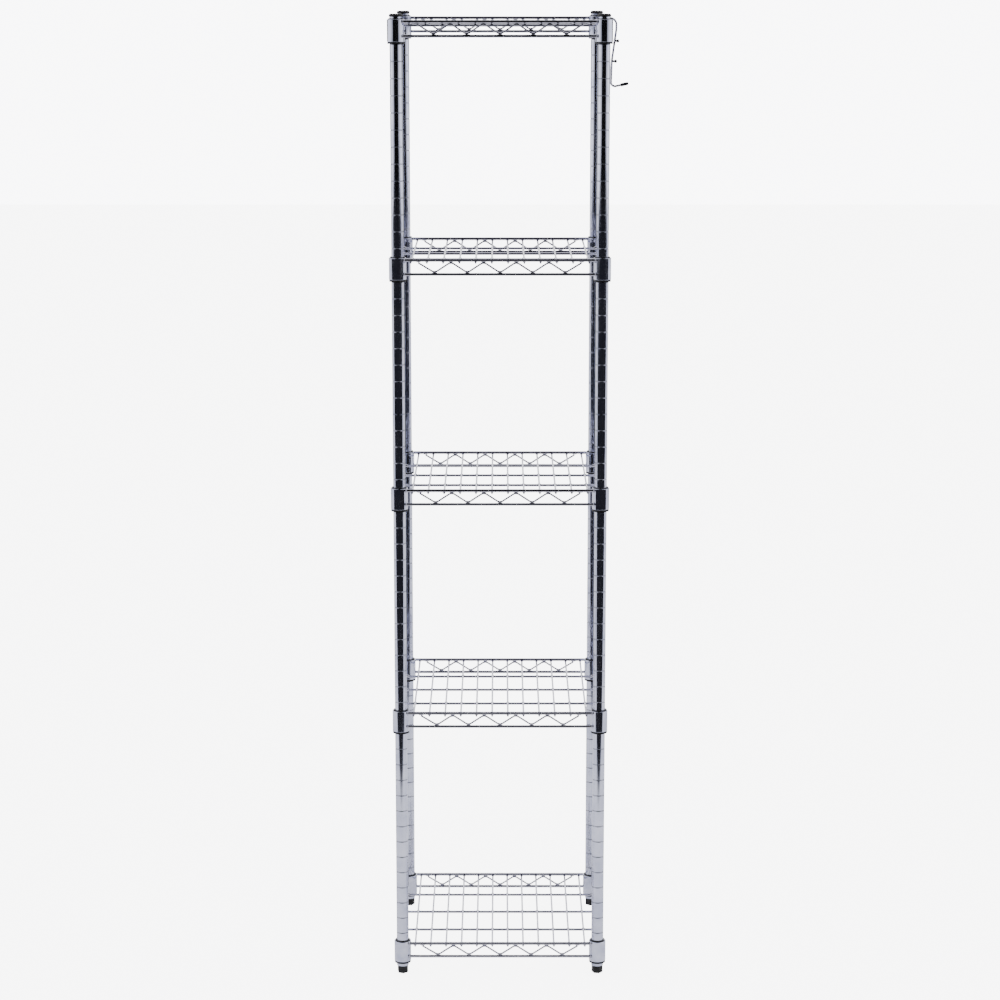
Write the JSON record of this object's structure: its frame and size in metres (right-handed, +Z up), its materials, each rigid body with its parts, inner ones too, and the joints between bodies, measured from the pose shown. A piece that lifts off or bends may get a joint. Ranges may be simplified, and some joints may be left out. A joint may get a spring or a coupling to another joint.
{
  "type": "wire shelving rack",
  "caption": "Tall narrow wire shelving rack: chromed wire shelves lift off tapered split sleeves clipped to grooved tube posts on screw feet.",
  "frame": {"origin": "middle of the whole footprint at floor level, the side hook included", "axes": "+Z up, -Y is the front, +X is the right-hand side, where the hook hangs"},
  "size_m": [0.3623, 0.3374, 1.5102],
  "materials": {
    "post_chrome": "bright plated tube",
    "collar_chrome": "bright plated collar",
    "rim_chrome": "bright plated heavy wire",
    "wire_chrome": "bright plated light wire",
    "hook_chrome": "bright plated hook wire",
    "insert_steel": "plain turned steel",
    "black_plastic": "moulded, satin",
    "foot_plastic": "moulded, satin, worn below",
    "tip_plastic": "dipped soft plastic"
  },
  "bodies": {
    "posts": {"foot_inserts": "insert_steel", "joining_studs": "insert_steel", "joint_inserts": "insert_steel", "lower_post_front_left": "post_chrome", "lower_post_front_right": "post_chrome", "lower_post_rear_left": "post_chrome", "lower_post_rear_right": "post_chrome", "upper_post_front_left": "post_chrome", "upper_post_front_right": "post_chrome", "upper_post_rear_left": "post_chrome", "upper_post_rear_right": "post_chrome", "post_cap_front_left": "black_plastic", "post_cap_front_right": "black_plastic", "post_cap_rear_left": "black_plastic", "post_cap_rear_right": "black_plastic", "tier_1_sleeves": "black_plastic", "tier_2_sleeves": "black_plastic", "tier_3_sleeves": "black_plastic", "tier_4_sleeves": "black_plastic", "tier_5_sleeves": "black_plastic"},
    "shelf_1": {"shelf_1_collars": "collar_chrome", "shelf_1_top_rims": "rim_chrome", "shelf_1_lower_rims": "rim_chrome", "shelf_1_trusses": "wire_chrome", "shelf_1_supports": "wire_chrome", "shelf_1_mat_wires": "wire_chrome"},
    "shelf_2": {"shelf_2_collars": "collar_chrome", "shelf_2_top_rims": "rim_chrome", "shelf_2_lower_rims": "rim_chrome", "shelf_2_trusses": "wire_chrome", "shelf_2_supports": "wire_chrome", "shelf_2_mat_wires": "wire_chrome"},
    "shelf_3": {"shelf_3_collars": "collar_chrome", "shelf_3_top_rims": "rim_chrome", "shelf_3_lower_rims": "rim_chrome", "shelf_3_trusses": "wire_chrome", "shelf_3_supports": "wire_chrome", "shelf_3_mat_wires": "wire_chrome"},
    "shelf_4": {"shelf_4_collars": "collar_chrome", "shelf_4_top_rims": "rim_chrome", "shelf_4_lower_rims": "rim_chrome", "shelf_4_trusses": "wire_chrome", "shelf_4_supports": "wire_chrome", "shelf_4_mat_wires": "wire_chrome"},
    "shelf_5": {"shelf_5_collars": "collar_chrome", "shelf_5_top_rims": "rim_chrome", "shelf_5_lower_rims": "rim_chrome", "shelf_5_trusses": "wire_chrome", "shelf_5_supports": "wire_chrome", "shelf_5_mat_wires": "wire_chrome"},
    "foot_front_left": {"levelling_foot_front_left": "foot_plastic"},
    "foot_front_right": {"levelling_foot_front_right": "foot_plastic"},
    "foot_rear_left": {"levelling_foot_rear_left": "foot_plastic"},
    "foot_rear_right": {"levelling_foot_rear_right": "foot_plastic"},
    "hook": {"side_hook": "hook_chrome", "side_hook_tips": "tip_plastic"}
  },
  "joints": [
    {"name": "shelf_1_lift", "type": "slide", "parent": "posts", "child": "shelf_1", "axis": [0, 0, 1], "range_m": [0, 0.3302]},
    {"name": "shelf_2_lift", "type": "slide", "parent": "posts", "child": "shelf_2", "axis": [0, 0, 1], "range_m": [0, 0.3048]},
    {"name": "shelf_3_lift", "type": "slide", "parent": "posts", "child": "shelf_3", "axis": [0, 0, 1], "range_m": [0, 0.3048]},
    {"name": "shelf_4_lift", "type": "slide", "parent": "posts", "child": "shelf_4", "axis": [0, 0, 1], "range_m": [0, 0.3048]},
    {"name": "shelf_5_lift", "type": "slide", "parent": "posts", "child": "shelf_5", "axis": [0, 0, 1], "range_m": [0, 0.06]},
    {"name": "foot_front_left_screw", "type": "slide", "parent": "posts", "child": "foot_front_left", "axis": [0, 0, -1], "range_m": [0, 0.01]},
    {"name": "foot_front_right_screw", "type": "slide", "parent": "posts", "child": "foot_front_right", "axis": [0, 0, -1], "range_m": [0, 0.01]},
    {"name": "foot_rear_left_screw", "type": "slide", "parent": "posts", "child": "foot_rear_left", "axis": [0, 0, -1], "range_m": [0, 0.01]},
    {"name": "foot_rear_right_screw", "type": "slide", "parent": "posts", "child": "foot_rear_right", "axis": [0, 0, -1], "range_m": [0, 0.01]},
    {"name": "side_hook_swing", "type": "hinge", "parent": "shelf_5", "child": "hook", "pos_m": [0.15113, -0.134, 1.4988], "axis": [0, -1, 0], "range_deg": [-7, 40]}
  ]
}
